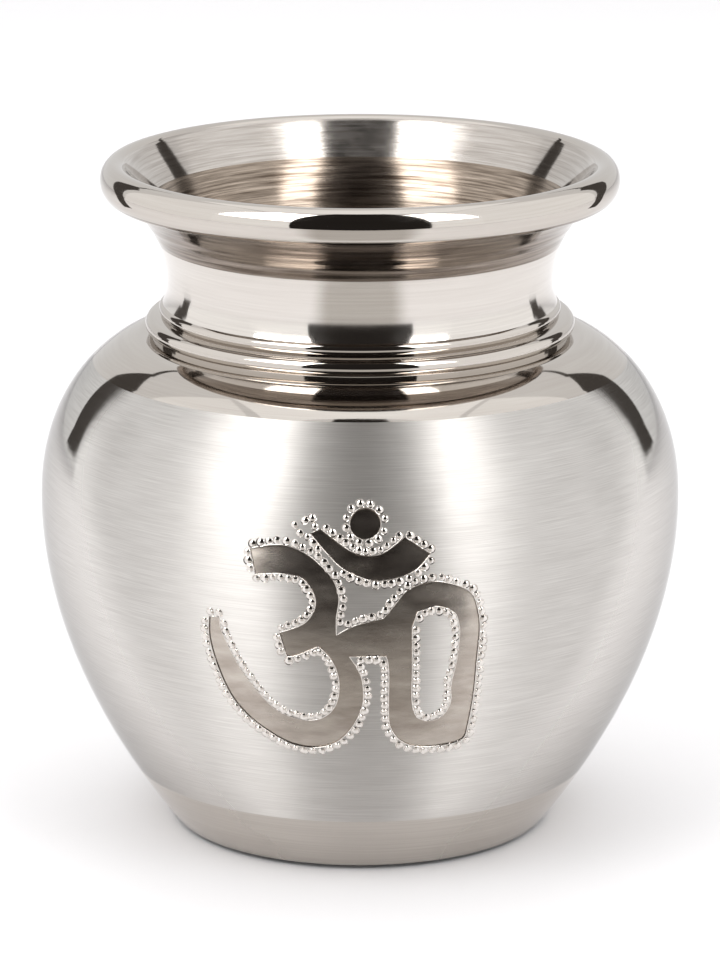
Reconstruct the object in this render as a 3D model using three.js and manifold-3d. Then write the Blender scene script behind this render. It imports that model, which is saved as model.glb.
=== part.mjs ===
// Kalash: a round-bellied ritual water pot, spun from sheet steel in several pieces.
// Millimetres, +Z up, the origin under the middle of the foot, the Om facing -Y.
import * as THREE from 'three';
import { mergeVertices } from 'three/addons/utils/BufferGeometryUtils.js';
import Module from 'manifold-3d';

const manifold = await Module();
manifold.setup();

// Sheet and fits
const segments = 48;
const wall = 0.9;
const fitGap = 0.3;
const lap = 5;

// Body outline, from the foot to the seat of the neck ring
const footRadius = 38;
const bellyRadius = 65;
const widestLevel = 67.5;
const lowerFullness = 1.94;
const domeHeight = 34;
const domeFullness = 2.2;
const domeRoundness = 1.57;
const lowerSteps = 8;
const domeSteps = 9;

// Base pan
const baseHeight = 12.8;
const floorThickness = 1.6;
const footRecess = 0.8;
const footRingWidth = 6;
const footEdge = 0.8;

// Mirror shoulder, measured down from the seat of the neck ring
const shoulderDepth = 5.4;
const joggleHeight = 1.6;

// Neck ring with its two beads; reaches are measured out from the neck's waist
const neckRadius = 38.9;
const seatReach = 5.1;
const ringHeight = 6.6;
const lowerBead = { reach: 4.5, height: 3.4, level: 2.3, from: -75, to: 85, steps: 6 };
const upperBead = { reach: 1.7, height: 2.6, level: 5.4, from: -50, to: 45, steps: 4 };

// Neck collar
const collarFootReach = 0.95;
const waistRise = 4.2;
const lipDrop = 0.6;
const lipAngle = -125;
const footSteps = 3;
const flareSteps = 6;

// Throat sleeve with its rolled rim
const neckHeight = 35.4;
const rimReach = 13.3;
const rollWidth = 6;
const rollHeight = 7.5;
const rollTailAngle = -140;
const rollSteps = 11;
const skinGap = 0.7;
const throatFlare = 5.6;
const throatEdgeDrop = 7.7;
const throatSteps = 5;
const sleeveTail = 3.6;

// Rim wire
const wireSides = 8;

// Om, drawn 100 units high in the plane of the front view
const omHeight = 50.3;
const omLevel = 31.3;
const omDepth = 0.3;
const omCurveSteps = 2;

// Levels and radii that the sizes above give
const seatLevel = widestLevel + domeHeight;
const seatRadius = neckRadius + seatReach;
const seamLevel = seatLevel - shoulderDepth;
const ringTop = seatLevel + ringHeight;
const waistLevel = ringTop + waistRise;
const rimTop = seatLevel + neckHeight;
const roll = {
  radius: neckRadius + rimReach - rollWidth / 2,
  level: rimTop - rollHeight / 2,
  a: rollWidth / 2,
  b: rollHeight / 2,
};
const sleeveRadius = neckRadius - wall - skinGap;
const upstandBore = sleeveRadius + fitGap;
const ringBore = upstandBore + wall + fitGap;

const radians = THREE.MathUtils.degToRad;

// Points of an ellipse arc, angles in degrees counted from the outward direction
function ellipseArc(radius, level, a, b, from, to, steps) {
  const points = [];
  for (let i = 0; i <= steps; i++) {
    const angle = radians(from + (to - from) * i / steps);
    points.push([radius + a * Math.cos(angle), level + b * Math.sin(angle)]);
  }
  return points;
}

// An arc that leaves [radius, level] upright and ends at [endRadius, endLevel]
function uprightArc(radius, level, endRadius, endLevel, steps) {
  const out = endRadius - radius;
  const rise = endLevel - level;
  const bend = (out * out + rise * rise) / (2 * out);
  const turn = Math.asin(rise / bend);
  const points = [];
  for (let i = 0; i <= steps; i++) {
    const angle = turn * i / steps;
    points.push([radius + bend * (1 - Math.cos(angle)), level + bend * Math.sin(angle)]);
  }
  return points;
}

// A path moved sideways, to the right of its direction of travel
function offsetPath(path, distance) {
  const normals = path.slice(1).map(([r, z], i) => {
    const dr = r - path[i][0];
    const dz = z - path[i][1];
    const length = Math.hypot(dr, dz);
    return [dz / length, -dr / length];
  });
  return path.map(([r, z], i) => {
    const before = normals[Math.max(i - 1, 0)];
    const after = normals[Math.min(i, normals.length - 1)];
    const scale = distance / (1 + before[0] * after[0] + before[1] * after[1]);
    return [r + (before[0] + after[0]) * scale, z + (before[1] + after[1]) * scale];
  });
}

// The stretch of a rising path between two levels, cut exactly at both
function clipPath(path, low, high) {
  const at = (level) => {
    let i = path.findIndex(([, z]) => z >= level);
    i = Math.min(Math.max(i, 1), path.length - 1);
    const [r0, z0] = path[i - 1];
    const [r1, z1] = path[i];
    return [r0 + (r1 - r0) * (level - z0) / (z1 - z0), level];
  };
  const nearest = 0.2;
  const inside = path.filter(([, z]) => z > low + nearest && z < high - nearest);
  return [at(low), ...inside, at(high)];
}

function bodyRadius(level) {
  if (level < widestLevel) {
    const drop = (widestLevel - level) / widestLevel;
    return bellyRadius - (bellyRadius - footRadius) * drop ** lowerFullness;
  }
  const rise = Math.min((level - widestLevel) / domeHeight, 1);
  return seatRadius + (bellyRadius - seatRadius) * (1 - rise ** domeFullness) ** (1 / domeRoundness);
}

// The whole outer body line from the table up to the seat, with an exact point at each seam
function bodyPath() {
  const levels = [0, baseHeight, seamLevel];
  for (let i = 1; i <= lowerSteps; i++) levels.push(widestLevel * i / lowerSteps);
  for (let i = 1; i <= domeSteps; i++) {
    levels.push(widestLevel + domeHeight * Math.sin(Math.PI / 2 * i / domeSteps));
  }
  const seams = [baseHeight, seamLevel];
  const nearest = 1;
  return levels
    .filter((z) => seams.includes(z) || seams.every((seam) => Math.abs(z - seam) > nearest))
    .sort((p, q) => p - q)
    .map((z) => [bodyRadius(z), z]);
}

// A profile turned into a closed ring or disc round the Z axis
function revolve(profile) {
  const points = profile.map(([r, z]) => new THREE.Vector2(r, z));
  if (profile[0][0] > 0) points.push(points[0].clone());
  const geometry = new THREE.LatheGeometry(points, segments);
  geometry.rotateX(Math.PI / 2);
  return toSolid(geometry);
}

// A closed three.js geometry turned into a solid, with its faces pointing out
function toSolid(geometry) {
  const bare = geometry.clone();
  bare.deleteAttribute('normal');
  bare.deleteAttribute('uv');
  const merged = mergeVertices(bare, 1e-4);
  const place = merged.attributes.position;
  const a = new THREE.Vector3();
  const b = new THREE.Vector3();
  const c = new THREE.Vector3();
  const triangles = [];
  let volume = 0;
  for (let i = 0; i < merged.index.count; i += 3) {
    const [p, q, r] = [0, 1, 2].map((k) => merged.index.getX(i + k));
    if (p === q || q === r || r === p) continue;
    a.fromBufferAttribute(place, p);
    b.fromBufferAttribute(place, q);
    c.fromBufferAttribute(place, r);
    volume += a.dot(b.cross(c));
    triangles.push([p, q, r]);
  }
  const order = volume > 0 ? triangles : triangles.map(([p, q, r]) => [p, r, q]);
  return new manifold.Manifold(new manifold.Mesh({
    numProp: 3,
    vertProperties: new Float32Array(place.array),
    triVerts: new Uint32Array(order.flat()),
  }));
}

function toMesh(name, solid, material) {
  const { vertProperties, triVerts } = solid.getMesh();
  const geometry = new THREE.BufferGeometry();
  geometry.setAttribute('position', new THREE.BufferAttribute(vertProperties, 3));
  geometry.setIndex(new THREE.BufferAttribute(triVerts, 1));
  geometry.computeVertexNormals();
  const mesh = new THREE.Mesh(geometry, material);
  mesh.name = name;
  return mesh;
}

// Body lines inside the sheet: the sheet's own inner face, and the two faces of a lapping spigot
const outerLine = bodyPath();
const sheetInner = offsetPath(outerLine, -wall);
const spigotOuter = offsetPath(outerLine, -(wall + fitGap));
const spigotInner = offsetPath(outerLine, -(2 * wall + fitGap));

// Dished base: a foot ring, a floor and a spigot that stands up inside the belly
function basePan() {
  const lapTop = baseHeight + lap;
  const floorLevel = footRecess + floorThickness;
  const ringInner = footRadius - footRingWidth;
  const edge = [
    [footRadius - footEdge, 0],
    [footRadius - footEdge * 0.3, footEdge * 0.25],
  ];
  const inside = clipPath(spigotInner, floorLevel, lapTop).reverse();
  return revolve([
    [0, footRecess],
    [ringInner - footRecess, footRecess],
    [ringInner, 0],
    ...edge,
    ...clipPath(outerLine, footEdge, baseHeight),
    ...clipPath(spigotOuter, baseHeight, lapTop),
    ...inside,
    [0, floorLevel],
  ]);
}

// Stretches of the Om's edge, in hundredths of its height, x from the pot's middle
const omLetter = [
  { to: [[-42, 83]] },
  { curve: [[-34, 85], [-27, 85], [-20, 82], [-14, 77], [-10, 72], [-8, 65], [-9, 57], [-9, 50]] },
  { curve: [[-2, 54], [9, 57]] },
  { curve: [[13, 62], [18, 68], [26, 71], [34, 70], [42, 66], [45, 59], [46, 50], [45, 37], [44, 23],
    [42, 9], [40, 2], [33, 0], [23, 0], [16, 3], [12, 9], [11, 16], [11, 35], [10, 41]] },
  { to: [[-4, 41]] },
  { curve: [[-1, 36], [1, 30], [1, 20], [-3, 10], [-9, 3], [-17, 0], [-26, 1], [-34, 5], [-43, 12],
    [-50, 21], [-55, 33], [-58, 45], [-58, 54]] },
  { to: [[-54, 54]] },
  { curve: [[-53, 48], [-47, 35], [-41, 26], [-33, 17], [-24, 13], [-17, 13], [-12, 16], [-9, 21],
    [-8, 28], [-9, 35], [-12, 41], [-16, 45]] },
  { curve: [[-24, 41], [-28, 40]] },
  { to: [[-31, 50]] },
  { curve: [[-22, 54], [-18, 59], [-17, 64], [-19, 69], [-23, 73], [-31, 74], [-40, 73]] },
];
const omEye = [
  { to: [[20, 53]] },
  { curve: [[20, 35], [20, 21], [22, 14], [27, 12], [32, 14], [35, 20], [35, 27], [37, 37], [38, 46],
    [38, 52], [36, 58], [29, 61], [22, 59]] },
];
const omCrescent = [
  { to: [[-15, 92]] },
  { curve: [[-11, 89], [-4, 84], [2, 82], [9, 83], [17, 89]] },
  { to: [[27, 82]] },
  { curve: [[20, 75], [8, 72], [1, 73], [-7, 77], [-13, 83], [-19, 90]] },
];
const omBindu = { x: 2, z: 94, radius: 6, steps: 20 };

function onPot([x, z]) {
  return new THREE.Vector2(x, z).multiplyScalar(omHeight / 100).add(new THREE.Vector2(0, omLevel));
}

function trace(path, stretches) {
  for (const { to, curve } of stretches) {
    if (curve) {
      path.splineThru(curve.map(onPot));
    } else {
      const { x, y } = onPot(to[0]);
      if (path.curves.length) path.lineTo(x, y);
      else path.moveTo(x, y);
    }
  }
  return path;
}

function omShapes() {
  const letter = trace(new THREE.Shape(), omLetter);
  letter.holes.push(trace(new THREE.Path(), omEye));
  const { x, z, radius, steps } = omBindu;
  const bindu = new THREE.Shape(ellipseArc(x, z, radius, radius, 360, 0, steps).slice(1).map(onPot));
  return [letter, trace(new THREE.Shape(), omCrescent), bindu];
}

// What the engraver takes away: the Om's outline down to an even depth under the belly's face
function omCut() {
  const floorLine = offsetPath(outerLine, -omDepth);
  const core = revolve([[0, floorLine[0][1]], ...floorLine, [0, floorLine.at(-1)[1]]]);
  const reach = bellyRadius / 2;
  const options = { depth: reach + 1, bevelEnabled: false, curveSegments: omCurveSteps };
  return omShapes().map((shape) => {
    const prism = new THREE.ExtrudeGeometry(shape, options);
    prism.rotateX(Math.PI / 2);
    prism.translate(0, -reach, 0);
    return toSolid(prism).subtract(core);
  });
}

// Brushed belly between the two seams, with the Om sunk in its front
function bellyShell() {
  const shell = revolve([
    ...clipPath(outerLine, baseHeight, seamLevel),
    ...clipPath(sheetInner, baseHeight, seamLevel).reverse(),
  ]);
  return omCut().reduce((solid, cut) => solid.subtract(cut), shell);
}

// Mirror shoulder: a spigot down inside the belly, the dome, and an upstand that holds the neck
function shoulderShell() {
  const upstandRadius = upstandBore + wall;
  const upstandTop = ringTop - fitGap;
  const dome = outerLine.filter(([, z]) => z >= seamLevel);
  const outside = [...dome, [upstandRadius, seatLevel], [upstandRadius, upstandTop]];
  const inside = offsetPath([[bodyRadius(seamLevel - lap), seamLevel - lap], ...outside], -wall);
  return revolve([
    ...outside,
    ...inside.filter(([, z]) => z > seamLevel + joggleHeight).reverse(),
    ...clipPath(spigotInner, seamLevel - lap, seamLevel).reverse(),
    ...clipPath(spigotOuter, seamLevel - lap, seamLevel),
  ]);
}

function beadArc({ reach, height, level, from, to, steps }) {
  const round = height / 2;
  return ellipseArc(neckRadius + reach - round, seatLevel + level, round, round, from, to, steps);
}

// Double-bead moulding that sits on the shoulder and covers the joint under the neck
function neckRing() {
  const lower = beadArc(lowerBead);
  return revolve([
    [ringBore, seatLevel],
    [lower[0][0], seatLevel],
    ...lower,
    ...beadArc(upperBead),
    [neckRadius + collarFootReach, ringTop],
    [ringBore, ringTop],
  ]);
}

// Outer skin of the neck: a foot fillet, a waist and a flare that ends under the rolled rim
function neckCollar() {
  const angle = radians(lipAngle);
  const lip = [roll.radius + roll.a * Math.cos(angle), roll.level + roll.b * Math.sin(angle) - lipDrop];
  const foot = uprightArc(neckRadius, -waistLevel, neckRadius + collarFootReach, -ringTop, footSteps);
  const outside = [
    ...foot.map(([r, z]) => [r, -z]).reverse(),
    ...uprightArc(neckRadius, waistLevel, ...lip, flareSteps).slice(1),
  ];
  const inside = offsetPath(outside, -wall);
  inside[0] = [outside[0][0] - wall, ringTop];
  return revolve([...outside, ...inside.reverse()]);
}

// Angle at which a straight line from a point inside the roll meets the top of the roll
function funnelAngle(radius, level) {
  const r = (radius - roll.radius) / roll.a;
  const z = (level - roll.level) / roll.b;
  const towards = THREE.MathUtils.euclideanModulo(Math.atan2(z, r), 2 * Math.PI);
  return THREE.MathUtils.radToDeg(towards - Math.acos(1 / Math.hypot(r, z)));
}

// Inner skin: bore, brushed throat, polished funnel, and the rim curled out and under
function throatSleeve() {
  const bore = sleeveRadius - wall;
  const edge = [bore + throatFlare, rimTop - throatEdgeDrop];
  const path = [
    [bore, seatLevel - sleeveTail],
    ...uprightArc(bore, waistLevel, ...edge, throatSteps),
    ...ellipseArc(roll.radius, roll.level, roll.a, roll.b, funnelAngle(...edge), rollTailAngle, rollSteps),
  ];
  return revolve([...path, ...offsetPath(path, wall).reverse()]);
}

// Steel wire that the rim is rolled round
function rimWire() {
  const wireRadius = Math.min(roll.a, roll.b) - wall - fitGap;
  const section = ellipseArc(roll.radius, roll.level, wireRadius, wireRadius, 0, 360, wireSides);
  return revolve(section.slice(0, -1));
}

const steel = (name, color, roughness) =>
  new THREE.MeshStandardMaterial({ name, color, roughness, metalness: 1 });
const mirrorSteel = steel('mirror steel', '#dedad5', 0.06);
const brushedSteel = steel('brushed steel', '#d3cfca', 0.34);
const satinSteel = steel('satin steel', '#c4bfb9', 0.28);
const wireSteel = steel('drawn wire', '#9c9a97', 0.5);

const kalash = new THREE.Group();
kalash.name = 'kalash';
kalash.add(
  toMesh('base_pan', basePan(), satinSteel),
  toMesh('belly_shell', bellyShell(), brushedSteel),
  toMesh('shoulder_shell', shoulderShell(), mirrorSteel),
  toMesh('neck_ring', neckRing(), mirrorSteel),
  toMesh('neck_collar', neckCollar(), mirrorSteel),
  toMesh('throat_sleeve', throatSleeve(), mirrorSteel),
  toMesh('rim_wire', rimWire(), wireSteel),
);

export default kalash;
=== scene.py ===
import math
import random

import bpy
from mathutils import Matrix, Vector


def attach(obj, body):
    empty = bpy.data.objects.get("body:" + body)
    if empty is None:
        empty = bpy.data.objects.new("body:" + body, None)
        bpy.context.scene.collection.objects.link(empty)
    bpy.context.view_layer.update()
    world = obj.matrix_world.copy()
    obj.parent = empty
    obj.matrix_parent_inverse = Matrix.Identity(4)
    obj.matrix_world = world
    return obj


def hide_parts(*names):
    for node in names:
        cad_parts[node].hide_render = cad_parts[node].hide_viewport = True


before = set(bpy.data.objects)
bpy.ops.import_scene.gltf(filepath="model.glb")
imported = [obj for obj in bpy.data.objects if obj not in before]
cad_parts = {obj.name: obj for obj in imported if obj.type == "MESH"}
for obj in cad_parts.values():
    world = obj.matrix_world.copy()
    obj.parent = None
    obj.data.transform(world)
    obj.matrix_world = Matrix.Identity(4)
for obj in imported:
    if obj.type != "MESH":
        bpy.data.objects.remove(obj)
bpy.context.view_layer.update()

# Kalash of spun stainless steel. Sizes in the code are millimetres, the scene is metres.
mm = 0.001
sides = 240  # round the pot, enough for a mirror finish
weldDistance = 1e-6  # metres, closer points are one point
sameSize = 1e-9  # a ring that grows by a smaller share keeps its size
creaseAngle = 28  # degrees, a sharper edge stays crisp
body = {
    "footRadius": 38, "bellyRadius": 65, "widestLevel": 67.5, "lowerFullness": 1.94,
    "domeHeight": 34, "domeFullness": 2.2, "domeRoundness": 1.57,
    "baseHeight": 12.8, "seamLevel": 96.1, "seatRadius": 44, "seatLevel": 101.5,
    "wall": 0.9, "fitGap": 0.3, "lap": 5, "lapRows": 4,
}


def deselectAll():
    if bpy.context.object and bpy.context.object.mode != "OBJECT":
        bpy.ops.object.mode_set(mode="OBJECT")
    bpy.ops.object.select_all(action="DESELECT")


def makeActive(piece):
    deselectAll()
    piece.select_set(True)
    bpy.context.view_layer.objects.active = piece


def arcPoints(radius, level, a, b, start, end, steps):
    points = []
    for i in range(steps + 1):
        angle = math.radians(start + (end - start) * i / steps)
        points.append((radius + a * math.cos(angle), level + b * math.sin(angle)))
    return points


def uprightArc(radius, level, endRadius, endLevel, steps):  # leaves its first point straight up
    out, rise = endRadius - radius, endLevel - level
    bend = (out * out + rise * rise) / (2 * out)
    turn = math.asin(rise / bend)
    points = []
    for i in range(steps + 1):
        angle = turn * i / steps
        points.append((radius + bend * (1 - math.cos(angle)), level + bend * math.sin(angle)))
    return points


def offsetLine(line, distance):  # to the right of its direction of travel
    normals = []
    for (r0, z0), (r1, z1) in zip(line, line[1:]):
        length = math.hypot(r1 - r0, z1 - z0)
        normals.append(((z1 - z0) / length, (r0 - r1) / length))
    moved = []
    for i, (r, z) in enumerate(line):
        before, after = normals[max(i - 1, 0)], normals[min(i, len(normals) - 1)]
        scale = distance / (1 + before[0] * after[0] + before[1] * after[1])
        moved.append((r + (before[0] + after[0]) * scale, z + (before[1] + after[1]) * scale))
    return moved


def bodyRadius(level):
    if level < body["widestLevel"]:
        drop = ((body["widestLevel"] - level) / body["widestLevel"]) ** body["lowerFullness"]
        return body["bellyRadius"] - (body["bellyRadius"] - body["footRadius"]) * drop
    rise = min((level - body["widestLevel"]) / body["domeHeight"], 1)
    crown = (1 - rise ** body["domeFullness"]) ** (1 / body["domeRoundness"])
    return body["seatRadius"] + (body["bellyRadius"] - body["seatRadius"]) * crown


def bodyLean(level):  # how far the outer face looks up, in radians
    step = 0.05
    return math.atan2(bodyRadius(level - step) - bodyRadius(level + step), 2 * step)


def bodyLine(low, high, rows):
    levels = [low + (high - low) * i / rows for i in range(rows + 1)]
    return [(bodyRadius(level), level) for level in levels]


# ring by ring, as on a lathe
def turnPiece(name, line, startsOnAxis=False, endsOnAxis=False, around=sides):
    deselectAll()
    radius, level = line[0]
    bpy.ops.mesh.primitive_circle_add(
        vertices=around, radius=radius * mm, fill_type="TRIFAN" if startsOnAxis else "NOTHING",
        location=(0, 0, level * mm))
    piece = bpy.context.object
    piece.name = piece.data.name = name
    bpy.ops.object.transform_apply(location=True, rotation=True, scale=True)
    bpy.ops.object.mode_set(mode="EDIT")
    bpy.ops.mesh.select_mode(type="EDGE")
    bpy.ops.mesh.select_all(action="SELECT")
    if startsOnAxis:
        bpy.ops.mesh.select_all(action="DESELECT")
        bpy.ops.mesh.select_non_manifold()
    for nextRadius, nextLevel in line[1:]:
        move = (0, 0, (nextLevel - level) * mm)
        bpy.ops.mesh.extrude_region_move(TRANSFORM_OT_translate={"value": move})
        grow = nextRadius / radius
        if abs(grow - 1) > sameSize:
            bpy.ops.transform.resize(value=(grow, grow, 1), center_override=(0, 0, nextLevel * mm))
        radius, level = nextRadius, nextLevel
    if endsOnAxis:
        bpy.ops.mesh.extrude_region_move(TRANSFORM_OT_translate={"value": (0, 0, 0)})
        bpy.ops.mesh.merge(type="CENTER")
    bpy.ops.mesh.select_all(action="SELECT")
    bpy.ops.mesh.remove_doubles(threshold=weldDistance)
    bpy.ops.mesh.normals_make_consistent(inside=False)
    bpy.ops.object.mode_set(mode="OBJECT")
    bpy.ops.object.shade_smooth_by_angle(angle=math.radians(creaseAngle))
    return piece


# Materials. One function turns a hex colour to linear, one adds a node.
def linear(hexColour):
    values = [int(hexColour[i:i + 2], 16) / 255 for i in (1, 3, 5)]
    return [v / 12.92 if v <= 0.04045 else ((v + 0.055) / 1.055) ** 2.4 for v in values] + [1]


def addNode(tree, kind, settings=None, links=None):
    node = tree.nodes.new(kind)
    for key, value in (settings or {}).items():
        if isinstance(key, int) or key in node.inputs:
            node.inputs[key].default_value = value
        else:
            setattr(node, key, value)
    for key, socket in (links or {}).items():
        tree.links.new(socket, node.inputs[key])
    return node


def grainCoords(tree, along, across):  # streaks that run level round the pot, sizes in mm
    coords = addNode(tree, "ShaderNodeTexCoord")
    scale = (1 / (along * mm), 1 / (along * mm), 1 / (across * mm))
    mapping = addNode(tree, "ShaderNodeMapping", {"Scale": scale}, {"Vector": coords.outputs["Object"]})
    return mapping.outputs["Vector"]


grain = {"detail": 3.0, "roughness": 0.6, "cloudDetail": 2.0, "cloudFlatness": 0.5}
noiseRange = {"From Min": 0.3, "From Max": 0.7}  # where a noise texture has most of its values


def metal(name, look):
    material = bpy.data.materials.new(name)
    material.use_nodes = True
    tree = material.node_tree
    tree.nodes.clear()
    streaks = addNode(tree, "ShaderNodeTexNoise",
                      {"Scale": 1.0, "Detail": grain["detail"], "Roughness": grain["roughness"]},
                      {"Vector": grainCoords(tree, look["grainLength"], look["grainWidth"])})
    cloudHeight = look["cloudSize"] * grain["cloudFlatness"]
    clouds = addNode(tree, "ShaderNodeTexNoise",
                     {"Scale": 1.0, "Detail": grain["cloudDetail"]},
                     {"Vector": grainCoords(tree, look["cloudSize"], cloudHeight)})
    strength = addNode(tree, "ShaderNodeMapRange", noiseRange, {"Value": streaks.outputs["Fac"]})
    tone = addNode(tree, "ShaderNodeMix",
                   {"data_type": "RGBA", 6: linear(look["darkGrain"]), 7: linear(look["colour"])},
                   {0: strength.outputs["Result"]})
    roughLow, roughHigh = look["roughness"]
    rough = addNode(tree, "ShaderNodeMapRange",
                    {**noiseRange, "To Min": roughLow, "To Max": roughHigh},
                    {"Value": clouds.outputs["Fac"]})
    roughSocket = rough.outputs["Result"]
    if look.get("edgeRoughness") is not None:  # a brushed face looks glossier at a low angle
        facing = addNode(tree, "ShaderNodeLayerWeight", {"Blend": 0.5})
        low = addNode(tree, "ShaderNodeMapRange",
                      {"interpolation_type": "SMOOTHSTEP",
                       "From Min": look["edgeFrom"], "From Max": look["edgeTo"]},
                      {"Value": facing.outputs["Facing"]})
        glancing = addNode(tree, "ShaderNodeMix", {"data_type": "FLOAT", 3: look["edgeRoughness"]},
                           {0: low.outputs["Result"], 2: roughSocket})
        roughSocket = glancing.outputs[0]
    bump = addNode(tree, "ShaderNodeBump",
                   {"Strength": look["bump"], "Distance": look["bumpHeight"] * mm},
                   {"Height": streaks.outputs["Fac"]})
    shader = addNode(tree, "ShaderNodeBsdfPrincipled",
                     {"Metallic": 1.0, "Anisotropic": look["anisotropy"],
                      "Anisotropic Rotation": look.get("turn", 0.0),
                      "Specular Tint": linear(look.get("edge", "#ffffff"))},
                     {"Base Color": tone.outputs[2], "Roughness": roughSocket,
                      "Normal": bump.outputs["Normal"]})
    addNode(tree, "ShaderNodeOutputMaterial", {}, {"Surface": shader.outputs["BSDF"]})
    return material


# 304 stainless buffed to a mirror on the lathe: sharp, slightly warm, with the faintest polishing rings
mirrorSteel = metal("mirrorPolishedStainless", {
    "colour": "#cbc5be", "darkGrain": "#c3bcb5", "roughness": (0.035, 0.07), "anisotropy": 0.0,
    "edge": "#f2f2f2",
    "grainLength": 30, "grainWidth": 0.6, "cloudSize": 14, "bump": 0.04, "bumpHeight": 0.01})
# the funnel inside the rim: the same buff, with the lathe's rings still showing through it
funnelSteel = metal("buffedFunnelStainless", {
    "colour": "#c8c2bc", "darkGrain": "#a8a19a", "roughness": (0.16, 0.24), "anisotropy": 0.96, "turn": 0.25,
    "edgeRoughness": 0.07, "edgeFrom": 0.3, "edgeTo": 0.5,
    "grainLength": 16, "grainWidth": 0.35, "cloudSize": 4, "bump": 0.2, "bumpHeight": 0.02})
# the neck: buffed round and round, so bright things draw out a little up and down
neckSteel = metal("buffedNeckStainless", {
    "colour": "#d9d4ce", "darkGrain": "#cfc9c3", "roughness": (0.1, 0.14), "anisotropy": 0.95, "turn": 0.25,
    "grainLength": 26, "grainWidth": 0.4, "cloudSize": 9, "bump": 0.1, "bumpHeight": 0.012})
# under the rim: turned rings, and a dark brown colour that is painted shade under the rim
shadedUnderRimSteel = metal("turnedUnderRimStainless", {
    "colour": "#a69b91", "darkGrain": "#5f544b", "roughness": (0.1, 0.15), "anisotropy": 0.9, "turn": 0.25,
    "grainLength": 20, "grainWidth": 0.5, "cloudSize": 7, "bump": 0.2, "bumpHeight": 0.02})
# the same steel after a fine abrasive belt: hairlines round the belly, so light smears up and down
hairlineSteel = metal("hairlineBrushedStainless", {
    "colour": "#dfdcd8", "darkGrain": "#cdc9c5", "roughness": (0.5, 0.55), "anisotropy": 0.95, "turn": 0.25,
    "edgeRoughness": 0.05, "edgeFrom": 0.38, "edgeTo": 0.62, "edge": "#d6d6d6",
    "grainLength": 11, "grainWidth": 0.17, "cloudSize": 10, "bump": 0.3, "bumpHeight": 0.02})
# satin turned on the lathe, finer than the belly
satinSteel = metal("satinTurnedStainless", {
    "colour": "#cac4bd", "darkGrain": "#bdb6af", "roughness": (0.34, 0.4), "anisotropy": 0.85, "turn": 0.25,
    "edgeRoughness": 0.08, "edgeFrom": 0.4, "edgeTo": 0.7,
    "grainLength": 40, "grainWidth": 0.4, "cloudSize": 12, "bump": 0.08, "bumpHeight": 0.012})
# under the foot and in the gap under its edge: dull steel painted dark, as painted shade of the contact line
shadedUndersideSteel = metal("paintedShadeUnderFoot", {
    "colour": "#4a443f", "darkGrain": "#2f2a27", "roughness": (0.5, 0.6), "anisotropy": 0.0,
    "grainLength": 12, "grainWidth": 0.6, "cloudSize": 8, "bump": 0.2, "bumpHeight": 0.02})
# inside of the throat: rougher lathe rings, and a darker brown colour that is painted shade between the walls
shadedThroatSteel = metal("latheTurnedThroat", {
    "colour": "#b5a799", "darkGrain": "#52453a", "roughness": (0.2, 0.26), "anisotropy": 0.8, "turn": 0.25,
    "grainLength": 14, "grainWidth": 0.4, "cloudSize": 8, "bump": 0.3, "bumpHeight": 0.02})
# the Om's floor, cut bright with a burnisher: nearly a mirror, a little wavy
burnishedSteel = metal("burnishedOmFloor", {
    "colour": "#bcb4ab", "darkGrain": "#a0968d", "roughness": (0.2, 0.28), "anisotropy": 0.85, "turn": 0.25,
    "grainLength": 9, "grainWidth": 2.6, "cloudSize": 6, "bump": 0.3, "bumpHeight": 0.1})
# punched pearls, burnished by the punch
pearlSteel = metal("punchedPearls", {
    "colour": "#e4dfda", "darkGrain": "#dad4ce", "roughness": (0.05, 0.09), "anisotropy": 0.0,
    "grainLength": 2, "grainWidth": 1, "cloudSize": 3, "bump": 0.0, "bumpHeight": 0.01})
# drawn wire inside the rim, hidden by the roll
wireSteel = metal("drawnWire", {
    "colour": "#a3a19e", "darkGrain": "#8f8d8a", "roughness": (0.4, 0.5), "anisotropy": 0.0,
    "grainLength": 12, "grainWidth": 0.3, "cloudSize": 5, "bump": 0.1, "bumpHeight": 0.02})
print("materials ready")


def dress(piece, materials, choose=None):  # choose(face) gives the number of its material
    piece.data.materials.clear()
    for material in materials:
        piece.data.materials.append(material)
    if choose:
        for face in piece.data.polygons:
            face.material_index = choose(face)


def standFor(piece, node):
    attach(piece, "root")
    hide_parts(node)


# Base pan: foot ring, recess, satin band, and the spigot inside the belly
base = {
    "floorThickness": 1.6, "recess": 0.8, "ringWidth": 6, "bandRows": 12, "innerRows": 8,
    "gapHeight": 0.5, "gapDepth": 3,  # the foot's edge stands this much clear of the table
    "edge": 0.8, "edgeInset": 0.35, "edgeWidth": 0.4, "edgeDrop": 0.3,  # turned edge under the satin band
    "edgeStart": -90, "edgeEnd": -20, "edgeSteps": 4,
    "floorFillet": 0.6, "hub": 6,
    "gapBelow": 0.6, "underBelow": 0.82, "underNormal": -0.8,  # where the painted shade under the foot starts
}


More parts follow.
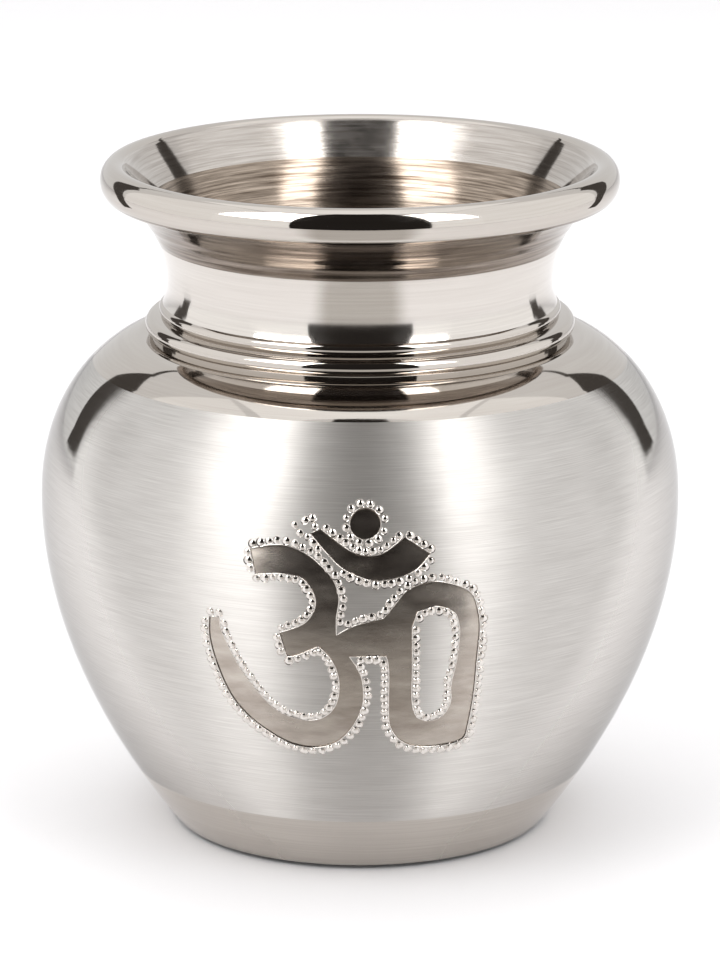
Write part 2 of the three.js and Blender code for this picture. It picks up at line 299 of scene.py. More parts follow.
def makeBasePan():
    top = body["baseHeight"] + body["lap"]
    ringInner = body["footRadius"] - base["ringWidth"]
    floorLevel = base["recess"] + base["floorThickness"]
    band = bodyLine(base["edge"], body["baseHeight"], base["bandRows"])
    lapLine = bodyLine(body["baseHeight"], top, body["lapRows"])
    spigotOuter = offsetLine(lapLine, -(body["wall"] + body["fitGap"]))
    inner = offsetLine(bodyLine(floorLevel, top, base["innerRows"]), -(2 * body["wall"] + body["fitGap"]))
    gapInner = body["footRadius"] - base["gapDepth"]
    edge = [(gapInner, 0), (gapInner, base["gapHeight"]),
            *arcPoints(body["footRadius"] - base["edgeInset"], base["edge"], base["edgeWidth"],
                       base["edgeDrop"], base["edgeStart"], base["edgeEnd"], base["edgeSteps"])]
    line = [(ringInner - base["recess"], base["recess"]), (ringInner, 0), *edge, *band, *spigotOuter,
            *inner[::-1], (inner[0][0] - base["floorFillet"], floorLevel), (base["hub"], floorLevel)]
    return turnPiece("basePan", line, startsOnAxis=True, endsOnAxis=True)


def basePanSlot(face):  # 1 for the underside and the gap, painted dark as shade, 0 for the rest
    level = face.center.z
    under = level < base["underBelow"] * mm and face.normal.z < base["underNormal"]
    return 1 if under or level < base["gapBelow"] * mm else 0


basePan = makeBasePan()
# the underside and the gap under the foot's edge take the painted shade
dress(basePan, [satinSteel, shadedUndersideSteel], basePanSlot)
standFor(basePan, "base_pan")
print("base pan turned")

# The Om, drawn 100 units high with x from the pot's middle, and sunk in the belly's front
om = {
    "height": 50.3, "level": 31.3, "depth": 0.3, "curveSteps": 7, "floorLean": 14, "floorFlatness": 0.82,
    "coreRadius": 8, "punchNear": 30, "punchFar": 70,  # the two tools that cut it, from the pot's axis
}
omScale = om["height"] / 100
omLetter = [
    ("to", [(-42, 83)]),
    ("curve", [(-34, 85), (-27, 85), (-20, 82), (-14, 77), (-10, 72), (-8, 65), (-9, 57), (-9, 50)]),
    ("curve", [(-2, 54), (9, 57)]),
    ("curve", [(13, 62), (18, 68), (26, 71), (34, 70), (42, 66), (45, 59), (46, 50), (45, 37), (44, 23),
               (42, 9), (40, 2), (33, 0), (23, 0), (16, 3), (12, 9), (11, 16), (11, 35), (10, 41)]),
    ("to", [(-4, 41)]),
    ("curve", [(-1, 36), (1, 30), (1, 20), (-3, 10), (-9, 3), (-17, 0), (-26, 1), (-34, 5), (-43, 12),
               (-50, 21), (-55, 33), (-58, 45), (-58, 54)]),
    ("to", [(-54, 54)]),
    ("curve", [(-53, 48), (-47, 35), (-41, 26), (-33, 17), (-24, 13), (-17, 13), (-12, 16), (-9, 21),
               (-8, 28), (-9, 35), (-12, 41), (-16, 45)]),
    ("curve", [(-24, 41), (-28, 40)]),
    ("to", [(-31, 50)]),
    ("curve", [(-22, 54), (-18, 59), (-17, 64), (-19, 69), (-23, 73), (-31, 74), (-40, 73)]),
]
omEye = [
    ("to", [(20, 53)]),
    ("curve", [(20, 35), (20, 21), (22, 14), (27, 12), (32, 14), (35, 20), (35, 27), (37, 37), (38, 46),
               (38, 52), (36, 58), (29, 61), (22, 59)]),
]
omCrescent = [
    ("to", [(-15, 92)]),
    ("curve", [(-11, 89), (-4, 84), (2, 82), (9, 83), (17, 89)]),
    ("to", [(27, 82)]),
    ("curve", [(20, 75), (8, 72), (1, 73), (-7, 77), (-13, 83), (-19, 90)]),
]
omBindu = {"x": 2, "z": 94, "radius": 6, "steps": 40}


def onFront(x, z):  # from the drawing's units to millimetres on the pot
    return x * omScale, om["level"] + z * omScale


def smoothThrough(points, steps):
    out = [points[0]]
    for i in range(len(points) - 1):
        p1, p2 = points[i], points[i + 1]
        p0, p3 = points[max(i - 1, 0)], points[min(i + 2, len(points) - 1)]
        for k in range(1, steps + 1):
            t = k / steps
            mixed = []
            for a, b, c, d in zip(p0, p1, p2, p3):
                v0, v1 = (c - a) / 2, (d - b) / 2
                cubic, square = 2 * b - 2 * c + v0 + v1, -3 * b + 3 * c - 2 * v0 - v1
                mixed.append(cubic * t ** 3 + square * t * t + v0 * t + b)
            out.append(tuple(mixed))
    return out


def outline(stretches):
    points = []
    for kind, through in stretches:
        if kind == "to":
            points.append(through[0])
        else:
            points += smoothThrough([points[-1]] + through, om["curveSteps"])[1:]
    return [onFront(x, z) for x, z in points]


def binduOutline():
    x, z = onFront(omBindu["x"], omBindu["z"])
    radius, turn = omBindu["radius"] * omScale, 2 * math.pi / omBindu["steps"]
    return [(x + radius * math.cos(turn * i), z + radius * math.sin(turn * i))
            for i in range(omBindu["steps"])]


omLines = {"letter": outline(omLetter), "eye": outline(omEye), "crescent": outline(omCrescent),
           "bindu": binduOutline()}

# punching the dots draws the sheet in a little round the crescent
drawIn = {"x": 0, "level": 67.5, "spread": 8.5, "depth": 0.4}


def pressed(x, level):
    away = ((x - drawIn["x"]) ** 2 + (level - drawIn["level"]) ** 2) / (2 * drawIn["spread"] ** 2)
    return drawIn["depth"] * math.exp(-away)


def pressIn(piece):
    for vertex in piece.data.vertices:
        if vertex.co.y < 0:
            vertex.co.y += pressed(vertex.co.x / mm, vertex.co.z / mm) * mm


def makeOmPunch():  # a flat drawing with thickness, stood up in front of the belly
    near, far = om["punchNear"], om["punchFar"]
    deselectAll()
    drawing = bpy.data.curves.new("omPunch", "CURVE")
    drawing.dimensions = "2D"
    drawing.fill_mode = "BOTH"
    drawing.extrude = (far - near) / 2 * mm
    for line in omLines.values():
        spline = drawing.splines.new("POLY")
        spline.points.add(len(line) - 1)
        for point, (x, z) in zip(spline.points, line):
            point.co = (x * mm, z * mm, 0, 1)
        spline.use_cyclic_u = True
    punch = bpy.data.objects.new("omPunch", drawing)
    bpy.context.collection.objects.link(punch)
    punch.rotation_euler = (math.radians(90), 0, 0)
    punch.location = (0, -(near + far) / 2 * mm, 0)
    makeActive(punch)
    bpy.ops.object.convert(target="MESH")
    bpy.ops.object.transform_apply(location=True, rotation=True, scale=True)
    bpy.ops.object.mode_set(mode="EDIT")
    bpy.ops.mesh.select_all(action="SELECT")
    bpy.ops.mesh.remove_doubles(threshold=weldDistance)
    bpy.ops.mesh.normals_make_consistent(inside=False)
    bpy.ops.object.mode_set(mode="OBJECT")
    return punch


def cutWith(piece, tool):
    makeActive(piece)
    cut = piece.modifiers.new("cut", "BOOLEAN")
    cut.operation = "DIFFERENCE"
    cut.solver = "EXACT"
    cut.object = tool
    bpy.ops.object.modifier_apply(modifier=cut.name)


def remove(piece):
    makeActive(piece)
    bpy.ops.object.delete()


# Belly shell: hairline brushed outside, the Om sunk in its front
belly = {"rows": 84, "innerRows": 20, "normalsInset": 0.06}
omFaces = {
    "leastOutward": 0.25, "outsideShare": 0.35, "deepestShare": 1.6,  # shares of the Om's depth
    "wallFrom": 0.02, "wallPast": 0.05, "halfWidth": 34,
}


def makeBelly():
    low, high = body["baseHeight"], body["seamLevel"]
    outside = bodyLine(low, high, belly["rows"])
    inside = offsetLine(bodyLine(low, high, belly["innerRows"]), -body["wall"])
    inside[0], inside[-1] = (inside[0][0], low), (inside[-1][0], high)
    shell = turnPiece("bellyShell", [*outside, *inside[::-1], outside[0]])
    floor = offsetLine(outside, -om["depth"])
    core = turnPiece("omCore", [(om["coreRadius"], floor[0][1]), *floor, (om["coreRadius"], floor[-1][1])],
                     startsOnAxis=True, endsOnAxis=True)
    punch = makeOmPunch()
    cutWith(punch, core)
    cutWith(shell, punch)
    remove(core)
    remove(punch)
    return shell


def faceKind(centre, normal):  # the outside, the Om's floor, its wall, or another face
    radius, level = math.hypot(centre.x, centre.y) / mm, centre.z / mm
    if not body["baseHeight"] < level < body["seamLevel"]:
        return "other"
    outward = (normal.x * centre.x + normal.y * centre.y) / (radius * mm)
    under = (bodyRadius(level) - radius) * math.cos(bodyLean(level))
    if outward < omFaces["leastOutward"] or under > om["depth"] * omFaces["deepestShare"]:
        inFront = centre.y < 0 and abs(centre.x) < omFaces["halfWidth"] * mm
        inCut = omFaces["wallFrom"] < under < om["depth"] + omFaces["wallPast"]
        return "wall" if inFront and inCut else "other"
    return "outside" if under < om["depth"] * omFaces["outsideShare"] else "floor"


def trueNormals(shell):  # the cut leaves long faces, so the outer face gets its exact turned normals back
    low, high = body["baseHeight"] + belly["normalsInset"], body["seamLevel"] - belly["normalsInset"]
    mesh = shell.data
    normals = [Vector((0, 0, 0))] * len(mesh.loops)
    for face in mesh.polygons:
        kind = faceKind(face.center, face.normal)
        face.material_index = 1 if kind in ("floor", "wall") else 0
        if kind not in ("outside", "floor"):
            continue
        for k in face.loop_indices:
            place = mesh.vertices[mesh.loops[k].vertex_index].co
            lean = bodyLean(min(max(place.z / mm, low), high))
            around = math.atan2(place.x, -place.y)
            if kind == "floor":  # the burnisher leaves the strokes flatter and looking up a little
                lean += math.radians(om["floorLean"])
                around *= om["floorFlatness"]
            flat = Vector((math.sin(around), -math.cos(around), 0))
            normals[k] = flat * math.cos(lean) + Vector((0, 0, math.sin(lean)))
    mesh.normals_split_custom_set(normals)


bellyShell = makeBelly()
dress(bellyShell, [hairlineSteel, burnishedSteel])
trueNormals(bellyShell)
pressIn(bellyShell)
standFor(bellyShell, "belly_shell")
print("belly turned and the Om cut,", len(bellyShell.data.polygons), "faces")

# Punched pearls along the Om, a touch uneven as by hand
pearl = {
    "radius": 0.7, "rise": 0.36, "pitch": 1.56, "reach": 0.8, "leastPitch": 1.36, "jitter": 0.12, "sides": 12,
    "clearShare": 0.93,  # of the reach, kept free of the Om's edge
    "searchStep": 0.12, "sink": 0.03, "tip": 0.18, "creaseAngle": 70, "placeSeed": 11, "shapeSeed": 5,
}
# one stroke of the beading punch, in shares of radius and rise: a narrow groove, its thrown-up lip, the dome
stroke = {"lip": [(1.3, 0), (1.2, 0.3), (1.1, 0.26)], "foot": 0.12, "angles": (0, 25, 50, 72), "flat": 0.12,
          "skirt": 1.28, "skirtLevel": -0.12}
strayPearls = [(-23, 90), (-25, 93), (-21, 95), (-18, 96), (-16, 97)]


def onBelly(x, level):
    radius = bodyRadius(level)
    return Vector((x, -math.sqrt(radius * radius - x * x), level))


def distanceToLines(x, z):
    noLength = 1e-12  # keeps two points in one place from dividing by nothing
    best = math.inf
    for line in omLines.values():
        for (x0, z0), (x1, z1) in zip(line, line[1:] + line[:1]):
            dx, dz = x1 - x0, z1 - z0
            t = ((x - x0) * dx + (z - z0) * dz) / (dx * dx + dz * dz + noLength)
            t = min(max(t, 0), 1)
            best = min(best, math.hypot(x - x0 - dx * t, z - z0 - dz * t))
    return best


def pearlPlaces():
    wander = random.Random(pearl["placeSeed"])
    reach, shake = pearl["reach"], pearl["jitter"] / 2
    places = []
    for name, line in omLines.items():
        area = sum(x0 * z1 - x1 * z0 for (x0, z0), (x1, z1) in zip(line, line[1:] + line[:1]))
        turnSign = 1 if area > 0 else -1
        if name == "eye":
            turnSign = -turnSign
        travelled = pearl["pitch"] / 2
        for (x0, z0), (x1, z1) in zip(line, line[1:] + line[:1]):
            length = math.hypot(x1 - x0, z1 - z0)
            while travelled <= length:
                t = travelled / length
                nx, nz = (z1 - z0) / length * turnSign, (x0 - x1) / length * turnSign
                x = x0 + (x1 - x0) * t + nx * reach
                z = z0 + (z1 - z0) * t + nz * reach
                clear = distanceToLines(x, z) > reach * pearl["clearShare"]
                apart = all(math.hypot(x - a, z - b) > pearl["leastPitch"] for a, b in places)
                if clear and apart:
                    places.append((x + wander.uniform(-1, 1) * shake, z + wander.uniform(-1, 1) * shake))
                    travelled += pearl["pitch"]
                else:
                    travelled += pearl["searchStep"]
            travelled -= length
    for x, z in strayPearls:
        x, z = onFront(x, z)
        if all(math.hypot(x - a, z - b) > pearl["leastPitch"] for a, b in places):
            places.append((x, z))
    return places


def strokeLine():
    radius, rise, foot = pearl["radius"], pearl["rise"], stroke["foot"]
    lip = [(radius * out, rise * up) for out, up in stroke["lip"]]
    angles = [math.radians(angle) for angle in stroke["angles"]]
    dome = [(radius * math.cos(angle), rise * (foot + (1 - foot) * math.sin(angle))) for angle in angles]
    return [(radius * stroke["skirt"], stroke["skirtLevel"]), *lip, *dome, (radius * stroke["flat"], rise)]


def makePearls():
    master = turnPiece("pearl", strokeLine(), startsOnAxis=True, endsOnAxis=True, around=pearl["sides"])
    makeActive(master)
    bpy.ops.object.shade_smooth_by_angle(angle=math.radians(pearl["creaseAngle"]))
    wander = random.Random(pearl["shapeSeed"])
    pearls = []
    for x, level in pearlPlaces():
        lean = bodyLean(level)
        place = onBelly(x, level)
        flat = Vector((place.x, place.y, 0)).normalized()
        outward = flat * math.cos(lean) + Vector((0, 0, math.sin(lean)))
        copy = master.copy()
        copy.data = master.data.copy()
        size = 1 + wander.uniform(-1, 1) * pearl["jitter"]
        copy.scale = (size, size, size)
        copy.rotation_mode = "QUATERNION"
        tipped = outward + Vector((wander.uniform(-1, 1), 0, wander.uniform(-1, 1))) * pearl["tip"]
        copy.rotation_quaternion = tipped.to_track_quat("Z", "Y")
        copy.location = (place - outward * pearl["sink"]) * mm
        bpy.context.collection.objects.link(copy)
        pearls.append(copy)
    remove(master)
    for one in pearls:
        one.select_set(True)
    bpy.context.view_layer.objects.active = pearls[0]
    bpy.ops.object.join()
    joined = bpy.context.object
    bpy.ops.object.transform_apply(location=True, rotation=True, scale=True)
    joined.name = joined.data.name = "punchedPearls"
    pressIn(joined)
    print(len(pearls), "pearls punched")
    return joined


# The bright lip that the graver throws up along each edge
engraving = {"lipRadius": 0.11}


def makeLip():
    deselectAll()
    route = bpy.data.curves.new("engravedLip", "CURVE")
    route.dimensions = "3D"
    route.bevel_depth = engraving["lipRadius"] * mm
    route.bevel_resolution = 1
    for line in omLines.values():
        spline = route.splines.new("POLY")
        spline.points.add(len(line) - 1)
        for point, (x, z) in zip(spline.points, line):
            point.co = (*(onBelly(x, z) * mm), 1)
        spline.use_cyclic_u = True
    lip = bpy.data.objects.new("engravedLip", route)
    bpy.context.collection.objects.link(lip)
    makeActive(lip)
    bpy.ops.object.convert(target="MESH")
    bpy.ops.object.mode_set(mode="EDIT")
    bpy.ops.mesh.select_all(action="SELECT")
    bpy.ops.mesh.normals_make_consistent(inside=False)
    bpy.ops.object.mode_set(mode="OBJECT")
    bpy.ops.object.shade_smooth()
    pressIn(bpy.context.object)
    return bpy.context.object


punchedPearls = makePearls()
engravedLip = makeLip()
for trim in (punchedPearls, engravedLip):
    dress(trim, [pearlSteel])
    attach(trim, "root")

# Mirror shoulder: dome, spigot inside the belly and the upstand that carries the neck
shoulder = {"joggle": 1.6, "domeRows": 26, "innerEvery": 4, "upstandClear": 0.5, "ringHeight": 6.6}
neck = {
    "radius": 38.9, "footReach": 0.95, "waistRise": 4.2, "lipDrop": 0.6, "lipAngle": -125,
    "height": 35.4, "rimReach": 13.3, "rollWidth": 6, "rollHeight": 7.5, "tailAngle": -140,
    "skinGap": 0.7, "flare": 5.6, "edgeDrop": 7.7, "tail": 3.6,
    "filletSteps": 12, "flareSteps": 60, "innerEvery": 6, "throatSteps": 24, "funnelSteps": 4, "rollSteps": 64,
}
ringTop = body["seatLevel"] + shoulder["ringHeight"]
waistLevel = ringTop + neck["waistRise"]
rimTop = body["seatLevel"] + neck["height"]
roll = {"radius": neck["radius"] + neck["rimReach"] - neck["rollWidth"] / 2,
        "level": rimTop - neck["rollHeight"] / 2, "a": neck["rollWidth"] / 2, "b": neck["rollHeight"] / 2}
sleeveRadius = neck["radius"] - body["wall"] - neck["skinGap"]
upstandBore = sleeveRadius + body["fitGap"]
ringBore = upstandBore + body["wall"] + body["fitGap"]


def makeShoulder():
    seam, seat = body["seamLevel"], body["seatLevel"]
    upstand = upstandBore + body["wall"]
    top = ringTop - body["fitGap"]
    levels = [seam + (seat - seam) * math.sin(math.pi / 2 * i / shoulder["domeRows"])
              for i in range(shoulder["domeRows"] + 1)]
    dome = [(bodyRadius(z), z) for z in levels]
    inside = offsetLine([*dome[::shoulder["innerEvery"]], (body["seatRadius"], seat)], -body["wall"])
    inside = [(r, z) for r, z in inside
              if z > seam + shoulder["joggle"] and r > upstandBore + shoulder["upstandClear"]]
    lapLine = bodyLine(seam - body["lap"], seam, body["lapRows"])
    spigotInner = offsetLine(lapLine, -(2 * body["wall"] + body["fitGap"]))
    spigotOuter = offsetLine(lapLine, -(body["wall"] + body["fitGap"]))
    line = [*dome, (upstand, seat), (upstand, top), (upstandBore, top), (upstandBore, seat - body["wall"]),
            *inside[::-1], *spigotInner[::-1], *spigotOuter, dome[0]]
    return turnPiece("shoulderShell", line)


shoulderShell = makeShoulder()
dress(shoulderShell, [mirrorSteel])
standFor(shoulderShell, "shoulder_shell")

# Neck ring with its two beads
lowerBead = {"reach": 4.5, "height": 3.4, "level": 2.3, "start": -75, "end": 85, "steps": 26}
upperBead = {"reach": 1.7, "height": 2.6, "level": 5.4, "start": -50, "end": 45, "steps": 16}


def beadLine(bead):
    half = bead["height"] / 2
    return arcPoints(neck["radius"] + bead["reach"] - half, body["seatLevel"] + bead["level"], half, half,
                     bead["start"], bead["end"], bead["steps"])


def makeNeckRing():
    lower, upper = beadLine(lowerBead), beadLine(upperBead)
    seat = body["seatLevel"]
    line = [(ringBore, seat), (lower[0][0], seat), *lower, *upper,
            (neck["radius"] + neck["footReach"], ringTop), (ringBore, ringTop), (ringBore, seat)]
    return turnPiece("neckRing", line)


neckRing = makeNeckRing()
dress(neckRing, [mirrorSteel])
standFor(neckRing, "neck_ring")


# Neck collar: fillet, waist and the flare that ends under the rim
ripple = {"low": 119, "high": 129, "pitch": 2.4, "depth": 0.045}  # soft rings left under the rim by the wheel
underRimShadeAbove = 120.7  # above this level the collar takes the under-rim steel with its painted shade


def makeNeckCollar():
    angle = math.radians(neck["lipAngle"])
    lip = (roll["radius"] + roll["a"] * math.cos(angle),
           roll["level"] + roll["b"] * math.sin(angle) - neck["lipDrop"])
    foot = uprightArc(neck["radius"], -waistLevel, neck["radius"] + neck["footReach"], -ringTop,
                      neck["filletSteps"])
    flare = uprightArc(neck["radius"], waistLevel, *lip, neck["flareSteps"])
    outside = [(r, -z) for r, z in foot[::-1]] + flare[1:]
    inside = offsetLine(outside[::neck["innerEvery"]], -body["wall"])
    inside[0] = (outside[0][0] - body["wall"], ringTop)
    low, high = ripple["low"], ripple["high"]
    for i, (r, z) in enumerate(outside):
        if low < z < high:
            swell = math.sin(math.pi * (z - low) / (high - low)) ** 2
            wave = math.sin(2 * math.pi * (z - low) / ripple["pitch"])
            outside[i] = (r + ripple["depth"] * swell * wave, z)
    return turnPiece("neckCollar", [*outside, *inside[::-1], outside[0]])


neckCollar = makeNeckCollar()
# the flare under the rim is painted darker, as shade
dress(neckCollar, [neckSteel, shadedUnderRimSteel], lambda face: 1 if face.center.z > underRimShadeAbove * mm else 0)
standFor(neckCollar, "neck_collar")
print("shoulder, beads and neck turned")


# Throat sleeve: bore, turned throat, polished funnel and the rim curled out and under
throatFaces = {"edgeClear": 0.02, "underNormal": -0.6, "funnelInset": 1.6}  # where its finishes meet


def makeThroat():
    bore = sleeveRadius - body["wall"]
    edge = (bore + neck["flare"], rimTop - neck["edgeDrop"])
    r, z = (edge[0] - roll["radius"]) / roll["a"], (edge[1] - roll["level"]) / roll["b"]
    meets = math.degrees(math.atan2(z, r) % (2 * math.pi) - math.acos(1 / math.hypot(r, z)))
    rim = arcPoints(roll["radius"], roll["level"], roll["a"], roll["b"], meets, neck["tailAngle"],
                    neck["rollSteps"])
    steps = neck["funnelSteps"]
    funnel = [(edge[0] + (rim[0][0] - edge[0]) * i / steps, edge[1] + (rim[0][1] - edge[1]) * i / steps)
              for i in range(1, steps)]
    path = [(bore, body["seatLevel"] - neck["tail"]), (bore, (body["seatLevel"] + waistLevel) / 2),
            *uprightArc(bore, waistLevel, *edge, neck["throatSteps"]), *funnel, *rim]
    under = offsetLine(path, body["wall"])
    return turnPiece("throatSleeve", [*path, *under[::-1], path[0]]), edge


throatSleeve, polishEdge = makeThroat()


def throatSlot(face):  # 0 mirror, 1 throat, 2 funnel, 3 under the rim
    radius, level = math.hypot(face.center.x, face.center.y) / mm, face.center.z / mm
    if level < polishEdge[1] and radius < polishEdge[0] + throatFaces["edgeClear"]:
        return 1
    if face.normal.z < throatFaces["underNormal"] and level < roll["level"]:
        return 3
    inside = face.normal.x * face.center.x + face.normal.y * face.center.y < 0
    return 2 if inside and radius < roll["radius"] - throatFaces["funnelInset"] else 0


# slot 3, under the rim, takes the painted shade of the under-rim steel
dress(throatSleeve, [mirrorSteel, shadedThroatSteel, funnelSteel, shadedUnderRimSteel], throatSlot)
standFor(throatSleeve, "throat_sleeve")
dress(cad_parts["rim_wire"], [wireSteel])
print("throat and rim turned")

# Studio: a pale floor, softboxes at both sides and overhead, the dark room behind the camera, and dark flags
# that only the polished steel shows. Distances in metres, angles in degrees from the camera's side.
studio = {
    "floorColour": "#f0eff0", "floorGlow": 0.01, "floorSize": 8, "floorLevel": -0.0002, "shadeLevel": -0.0001,
    "middle": (0, 0, 0.09), "worldLevel": 0.76, "worldInSteel": 0.92, "sideLevel": 1.2, "lowKeyLevel": 1.25,
    "keyLevel": 6.8, "keyOnPaper": 3.5, "topLevel": 1.3, "fillLevel": 2.2,
    "frontDark": "#2a2725", "flagDark": "#524e4b", "paintedTableShade": "#dad7d3",
}
# where the painted shade on the table fades in, by slope to the side and by metres in front
shade = {"slopeFrom": 0.56, "slopeTo": 0.3, "nearFrom": 0.07, "nearTo": 0.14}
softbox = {"distance": 1.05, "keyStart": 26, "keyEndLeft": 66, "keyEndRight": 54, "sideEnd": 122,
           "foot": -4, "keyFoot": 25, "keyTop": 66, "sideTop": 60}
farEye = {"place": (0.05, -0.025, 0.1), "distance": 0.4}
nearEye = {"place": (0.034, -0.018, 0.112), "distance": 0.13}
flags = [  # each corner's azimuth and elevation as a point on the neck sees it
    ("flagLow", farEye, [(126, -0.6), (134.5, -2.4), (147, 22), (131.5, 27)]),
    ("flagHigh", farEye, [(131.5, 27), (147, 22), (149, 36), (133, 33)]),
    ("flagTail", farEye, [(146, 34.5), (166, 37), (166, 38), (146, 36.5)]),
    ("flagNear", nearEye, [(119.5, -12), (129, -12), (129, 8), (120.5, 8)]),
]
frontRoom = [(-0.50, -0.88, 0), (0.51, -0.88, 0), (0.165, -0.24, 1.62), (-0.16, -0.24, 1.62)]
topCorners = [(-0.6, -0.22, 1.45), (0.6, -0.22, 1.45), (0.6, 0.8, 1.3), (-0.6, 0.8, 1.3)]
fillCorners = [(-0.5, 0.15, 1.2), (0.5, 0.15, 1.2), (0.5, 0.9, 1.1), (-0.5, 0.9, 1.1)]
photo = {"place": (0, -941 * mm, 320.94 * mm), "pitch": 15.0, "lens": 176.3, "sensor": 36}


def glowMaterial(name, hexColour, strength):
    material = bpy.data.materials.new(name)
    material.use_nodes = True
    tree = material.node_tree
    tree.nodes.clear()
    glow = addNode(tree, "ShaderNodeEmission", {"Color": linear(hexColour), "Strength": strength})
    addNode(tree, "ShaderNodeOutputMaterial", {}, {"Surface": glow.outputs["Emission"]})
    return material


def shadeMaterial(name, hexColour):  # painted shade on the table in front, which only the steel's reflections see, with soft edges
    material = glowMaterial(name, hexColour, 1.0)
    tree = material.node_tree
    glow = tree.nodes["Emission"]
    coords = addNode(tree, "ShaderNodeTexCoord")
    place = addNode(tree, "ShaderNodeSeparateXYZ", {}, {0: coords.outputs["Object"]})
    away = addNode(tree, "ShaderNodeMath", {"operation": "MULTIPLY", 1: -1.0}, {0: place.outputs["Y"]})
    side = addNode(tree, "ShaderNodeMath", {"operation": "ABSOLUTE"}, {0: place.outputs["X"]})
    slope = addNode(tree, "ShaderNodeMath", {"operation": "DIVIDE"}, {0: side.outputs[0], 1: away.outputs[0]})
    across = addNode(tree, "ShaderNodeMapRange",
                     {"interpolation_type": "SMOOTHSTEP",
                      "From Min": shade["slopeFrom"], "From Max": shade["slopeTo"]},
                     {"Value": slope.outputs[0]})
    along = addNode(tree, "ShaderNodeMapRange",
                    {"interpolation_type": "SMOOTHSTEP",
                     "From Min": shade["nearFrom"], "From Max": shade["nearTo"]},
                    {"Value": away.outputs[0]})
    cover = addNode(tree, "ShaderNodeMath", {"operation": "MULTIPLY"},
                    {0: across.outputs["Result"], 1: along.outputs["Result"]})
    clear = addNode(tree, "ShaderNodeBsdfTransparent")
    both = addNode(tree, "ShaderNodeMixShader", {},
                   {0: cover.outputs[0], 1: clear.outputs[0], 2: glow.outputs[0]})
    tree.links.new(both.outputs[0], tree.nodes["Material Output"].inputs["Surface"])
    return material


def toward(azimuth, elevation, distance, centre=studio["middle"]):  # azimuth 0 is the camera's side
    a, e = math.radians(azimuth), math.radians(elevation)
    return Vector(centre) + Vector((math.sin(a), -math.cos(a), math.tan(e))) * distance


def hangCard(name, corners, material, lights):
    deselectAll()
    bpy.ops.mesh.primitive_plane_add(size=1, location=(0, 0, 0))
    card = bpy.context.object
    card.name = card.data.name = name
    for vertex, place in zip(card.data.vertices, (corners[0], corners[1], corners[3], corners[2])):
        vertex.co = Vector(place)
    dress(card, [material])
    card.visible_camera = False
    card.visible_shadow = False
    card.visible_diffuse = lights
    return card


def hangSoftbox(name, sign, azimuths, elevations, material, lights):
    (start, end), (foot, top) = azimuths, elevations
    spots = [(start, foot), (end, foot), (end, top), (start, top)]
    corners = [toward(sign * azimuth, elevation, softbox["distance"]) for azimuth, elevation in spots]
    return hangCard(name, corners, material, lights)


def makeFloor():
    deselectAll()
    bpy.ops.mesh.primitive_plane_add(size=studio["floorSize"], location=(0, 0, studio["floorLevel"]))
    floor = bpy.context.object
    floor.name = floor.data.name = "studioFloor"
    material = bpy.data.materials.new("paperFloor")
    material.use_nodes = True
    tree = material.node_tree
    tree.nodes.clear()
    matte = addNode(tree, "ShaderNodeBsdfDiffuse", {"Color": linear(studio["floorColour"])})
    path = addNode(tree, "ShaderNodeLightPath")
    lift = addNode(tree, "ShaderNodeMath", {"operation": "MULTIPLY", 1: studio["floorGlow"]},
                   {0: path.outputs["Is Camera Ray"]})
    glow = addNode(tree, "ShaderNodeEmission", {"Color": (1, 1, 1, 1)}, {"Strength": lift.outputs["Value"]})
    both = addNode(tree, "ShaderNodeAddShader", {}, {0: matte.outputs["BSDF"], 1: glow.outputs["Emission"]})
    addNode(tree, "ShaderNodeOutputMaterial", {}, {"Surface": both.outputs["Shader"]})
    dress(floor, [material])


def makeWorld():
    world = bpy.data.worlds.new("studioWorld")
    bpy.context.scene.world = world
    world.use_nodes = True
    tree = world.node_tree
    tree.nodes.clear()
    path = addNode(tree, "ShaderNodeLightPath")
    inSteel = addNode(tree, "ShaderNodeMix",
                      {"data_type": "FLOAT", 2: studio["worldLevel"], 3: studio["worldInSteel"]},
                      {0: path.outputs["Is Glossy Ray"]})
    level = addNode(tree, "ShaderNodeMix", {"data_type": "FLOAT", 3: 1.0},
                    {0: path.outputs["Is Camera Ray"], 2: inSteel.outputs[0]})
    back = addNode(tree, "ShaderNodeBackground", {"Color": (1, 1, 1, 1)}, {"Strength": level.outputs[0]})
    addNode(tree, "ShaderNodeOutputWorld", {}, {"Surface": back.outputs["Background"]})


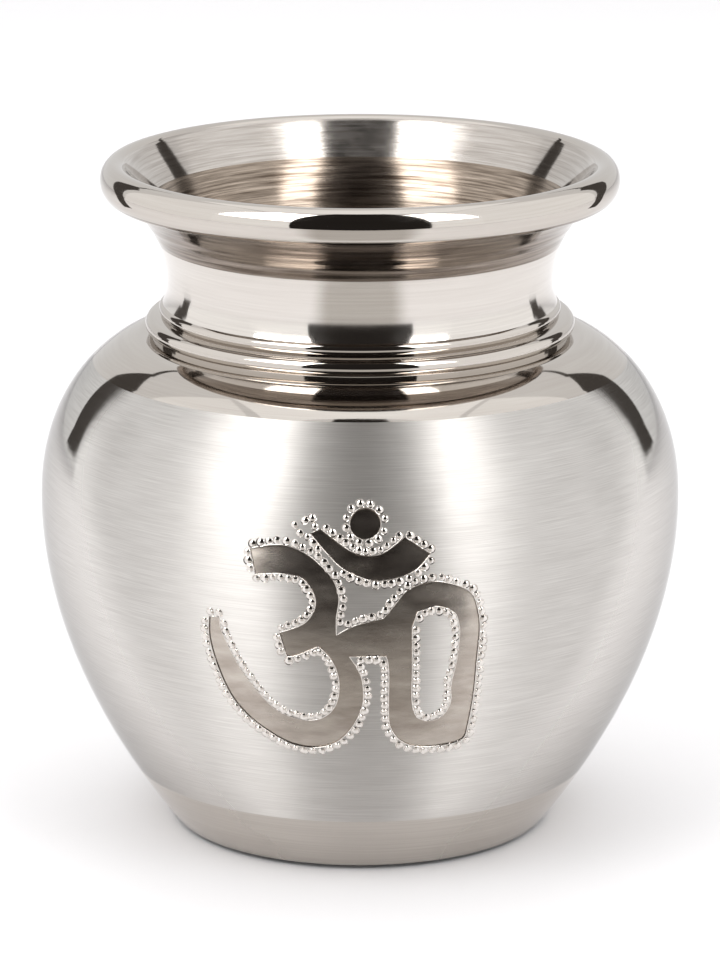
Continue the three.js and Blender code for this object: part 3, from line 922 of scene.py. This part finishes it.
def makeStudio():
    makeFloor()
    makeWorld()
    dark = glowMaterial("darkRoom", studio["frontDark"], 1.0)
    flag = glowMaterial("darkFlag", studio["flagDark"], 1.0)
    side = glowMaterial("sideSoftbox", "#ffffff", studio["sideLevel"])
    key = glowMaterial("keySoftbox", "#ffffff", studio["keyLevel"])
    keyOnPaper = glowMaterial("keyOnPaper", "#ffffff", studio["keyOnPaper"])
    top = glowMaterial("topSoftbox", "#ffffff", studio["topLevel"])
    lowKey = glowMaterial("lowKeySoftbox", "#ffffff", studio["lowKeyLevel"])
    fillLamps = glowMaterial("fillLamps", "#ffffff", studio["fillLevel"])
    hangCard("frontRoom", frontRoom, dark, False)
    half, level = studio["floorSize"] / 2, studio["shadeLevel"]
    # painted shade of the table in front of the pot, seen only in the steel
    hangCard("paintedTableShade", [(-half, -half, level), (half, -half, level), (half, half, level),
                            (-half, half, level)], shadeMaterial("shadedTable", studio["paintedTableShade"]), False)
    keyStart, sideEnd, foot = softbox["keyStart"], softbox["sideEnd"], softbox["foot"]
    keyHeight = (softbox["keyFoot"], softbox["keyTop"])
    for sign, name, keyEnd in ((-1, "Left", softbox["keyEndLeft"]), (1, "Right", softbox["keyEndRight"])):
        hangSoftbox("lowKey" + name, sign, (keyStart, keyEnd), (foot, softbox["keyFoot"]), lowKey, True)
        hangSoftbox("key" + name, sign, (keyStart, keyEnd), keyHeight, key, False)
        onPaper = hangSoftbox("keyOnPaper" + name, sign, (keyStart, keyEnd), keyHeight, keyOnPaper, True)
        onPaper.visible_glossy = False  # the same lamp, as the paper sees it
        hangSoftbox("softbox" + name, sign, (keyEnd, sideEnd), (foot, softbox["sideTop"]), side, True)
        for flagName, eye, spots in flags:
            x, y, z = eye["place"]
            corners = [toward(sign * azimuth, elevation, eye["distance"], (sign * x, y, z))
                       for azimuth, elevation in spots]
            hangCard(flagName + name, corners, flag, False)
    hangCard("softboxTop", topCorners, top, True)
    fill = hangCard("fillBehind", fillCorners, fillLamps, True)
    fill.visible_glossy = False


makeStudio()
cameraData = bpy.data.cameras.new("photoCamera")
cameraData.sensor_width = photo["sensor"]
cameraData.lens = photo["lens"]
camera = bpy.data.objects.new("photoCamera", cameraData)
bpy.context.collection.objects.link(camera)
camera.location = photo["place"]
camera.rotation_euler = (math.radians(90 - photo["pitch"]), 0, 0)
bpy.context.scene.camera = camera
bpy.context.scene.view_settings.view_transform = "Standard"
print("studio ready")

deselectAll()
